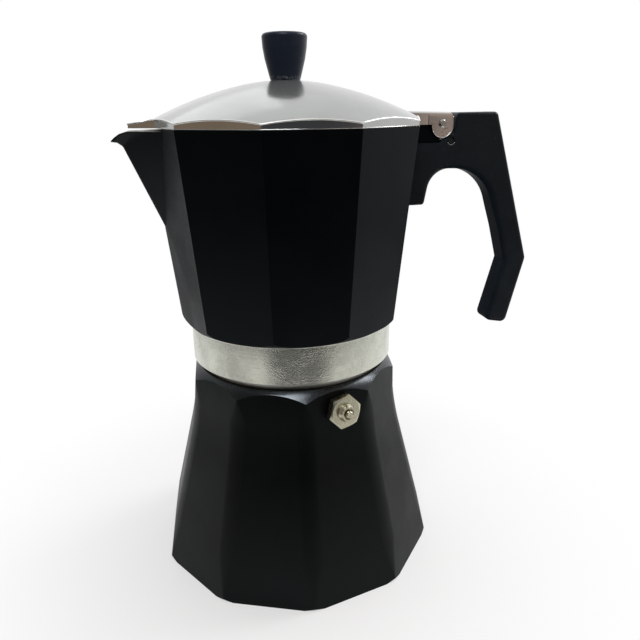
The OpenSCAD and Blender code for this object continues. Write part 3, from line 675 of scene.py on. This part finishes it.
def lid_piece():
    """Satin dome over a mirror-bright skirt, with beads on its edges and scratched ears."""
    skirt_end_x, tab_x, ear_x, skirt_r = 56, 60, 63, 48
    bm = clean_copy("lid")

    def crease(edge, angle, middle):
        low, high = sorted(abs(face.normal.z) for face in edge.link_faces)
        outer = middle.x < skirt_end_x and middle.xy.length > skirt_r + 2
        return outer and middle.z > RIM_Z + 0.4 and low < 0.3 and high > 0.5

    def hem(edge, angle, middle):
        low, high = sorted(face.normal.z for face in edge.link_faces)
        outer = middle.x < skirt_end_x and middle.xy.length > skirt_r + 8
        return outer and middle.z < RIM_Z + 1.4 and low < -0.8 and abs(high) < 0.3

    def ear_rim(edge, angle, middle):
        low, high = sorted(abs(face.normal.y) for face in edge.link_faces)
        return middle.x > ear_x and abs(middle.y) > EAR_Y - 0.1 and low < 0.2 and high > 0.98

    def free_ear_rim(edge, angle, middle):
        """The part of the ears' edges that hangs clear of the tab."""
        return ear_rim(edge, angle, middle) and (middle.x > 74 or middle.z < 205)

    def where(face, centre):
        if centre.x > tab_x:
            return EAR if abs(face.normal.y) > 0.9 else SKIRT
        return SKIRT if abs(face.normal.z) < 0.3 and centre.xy.length > skirt_r else LID

    for name, chosen, material, radius in (("lid_crease", crease, CREASE, 0.34),
                                           ("lid_hem", hem, BURR, 0.15),
                                           ("ear_rims", free_ear_rim, CREASE, 0.2)):
        bead(name, chains(matching(bm, chosen)), "lid", material, radius)
    soften(bm, ear_rim, width=0.3, segments=2)
    finish_piece(bm, "lid_shell", "lid", [LID, SKIRT, EAR], where)


boiler_piece()
jug_piece()
handle_piece()
lid_piece()


# ------------------------------------------------------------------ camera, lights, floor

def camera():
    """Camera fitted to the photo's view."""
    place = (-0.04896, -0.29355, 0.21583)
    yaw, pitch, roll = 0.212752, -0.324482, -0.010288
    data = bpy.data.cameras.new("camera")
    data.sensor_width = 36
    data.lens = 35.56
    data.clip_start, data.clip_end = 0.01, 60
    level = math.cos(pitch)
    forward = Vector((math.sin(yaw) * level, math.cos(yaw) * level, math.sin(pitch)))
    right = Vector((math.cos(yaw), -math.sin(yaw), 0))
    up = right.cross(forward)
    x = math.cos(roll) * right + math.sin(roll) * up
    y = -math.sin(roll) * right + math.cos(roll) * up
    turn = Matrix((x, y, -forward)).transposed().to_4x4()
    view = add_object("camera", data)
    view.matrix_world = Matrix.Translation(place) @ turn
    scene.camera = view


def lamp(name, place, target, size, power):
    """Rectangular area light of size (width, height) that faces the target."""
    data = bpy.data.lights.new(name, "AREA")
    data.shape = "RECTANGLE"
    data.size, data.size_y = size
    data.energy = power
    light = add_object(name, data)
    light.location = place
    light.rotation_euler = (Vector(target) - Vector(place)).to_track_quat("-Z", "Y").to_euler()


def world():
    """White to the camera. As light, a white wall behind the object and a dim brown room."""
    brown, dark, pink = (0.22, 0.17, 0.125), (0.052, 0.055, 0.058), (0.46, 0.37, 0.32)
    pale, grey, white = (0.40, 0.42, 0.41), (0.33, 0.345, 0.345), (1, 1, 1)
    sky = bpy.data.worlds.new("studio")
    scene.world = sky
    sky.use_nodes = True
    g = Graph(sky.node_tree, "Generated")
    x, y, z = g.axes()
    above = g.ramp(z, -0.20, -0.06)
    room = g.mix(g.ramp(x, -0.92, -0.5), g.mix(above, dark, brown), dark)
    room = g.mix(g.ramp(x, 0.24, 0.42), room, g.mix(above, dark, pink))
    room = g.mix(g.ramp(x, 0.50, 1.0), room, pale)
    wall = g.mix(g.ramp(x, -0.80, -0.28), grey, white)
    around = g.mix(g.ramp(y, -0.30, 0.42), room, wall)
    to_camera = g.add("ShaderNodeLightPath").outputs["Is Camera Ray"]
    background = g.tree.nodes["Background"]
    g.put(background, "Strength", 1.0)
    g.put(background, "Color", g.mix(to_camera, around, white))


def floor():
    """Pale table top with a hollow in its front edge.

    To the camera it fades to white before it ends, and so does what mirrors see of its far side.
    """
    reach, hollow, hollow_turn, hollow_half = 0.37, 0.155, -92, 38
    fade_start, fade_end, fade_least = 0.05, 0.205, 0.45
    points = []
    for turn in turns(144):
        a = turn - math.pi
        aside = min(abs(math.degrees(a) - hollow_turn) / hollow_half, 1.0)
        far = reach - hollow * (1 - aside ** 4)
        points.append((far * math.cos(a), far * math.sin(a), 0))
    mesh = bpy.data.meshes.new("floor")
    mesh.from_pydata(points, [], [list(range(len(points)))])
    plane = add_object("floor", mesh)
    g = MaterialGraph("pale_floor")
    g.set(Base_Color=(0.80, 0.80, 0.795), Roughness=0.9, Specular_IOR_Level=0.1)
    x, y, _ = g.axes()
    away = g.math("SQRT", g.math("ADD", g.math("MULTIPLY", x, x), g.math("MULTIPLY", y, y)))
    path = g.add("ShaderNodeLightPath").outputs
    mirrored = g.math("MAXIMUM", path["Is Glossy Ray"], path["Is Transmission Ray"])
    far_side = g.math("MULTIPLY", mirrored, g.ramp(y, -0.12, 0.10))
    seen = g.math("MAXIMUM", path["Is Camera Ray"], far_side)
    fade = g.math("MULTIPLY", g.ramp(away, fade_start, fade_end, fade_least, 1.0), seen)
    white = g.add("ShaderNodeEmission", {"Color": (1, 1, 1), "Strength": 1.0}).outputs[0]
    faded = g.add("ShaderNodeMixShader", {0: fade, 1: g.shader.outputs[0], 2: white})
    g.put(g.output, "Surface", faded.outputs[0])
    mesh.materials.append(g.material)


camera()
world()
floor()
lamp("top", (-0.25, -0.80, 1.35), target=(0, 0, 0.1), size=(0.6, 0.6), power=11)
lamp("back_left", (-0.16, 1.2, 1.12), target=(-0.02, -0.03, 0.21), size=(0.6, 0.6), power=0.55)
lamp("right", (1.1, 0.30, 1.05), target=(0, 0, 0.1), size=(0.5, 0.6), power=8)
scene.view_settings.view_transform = "Standard"
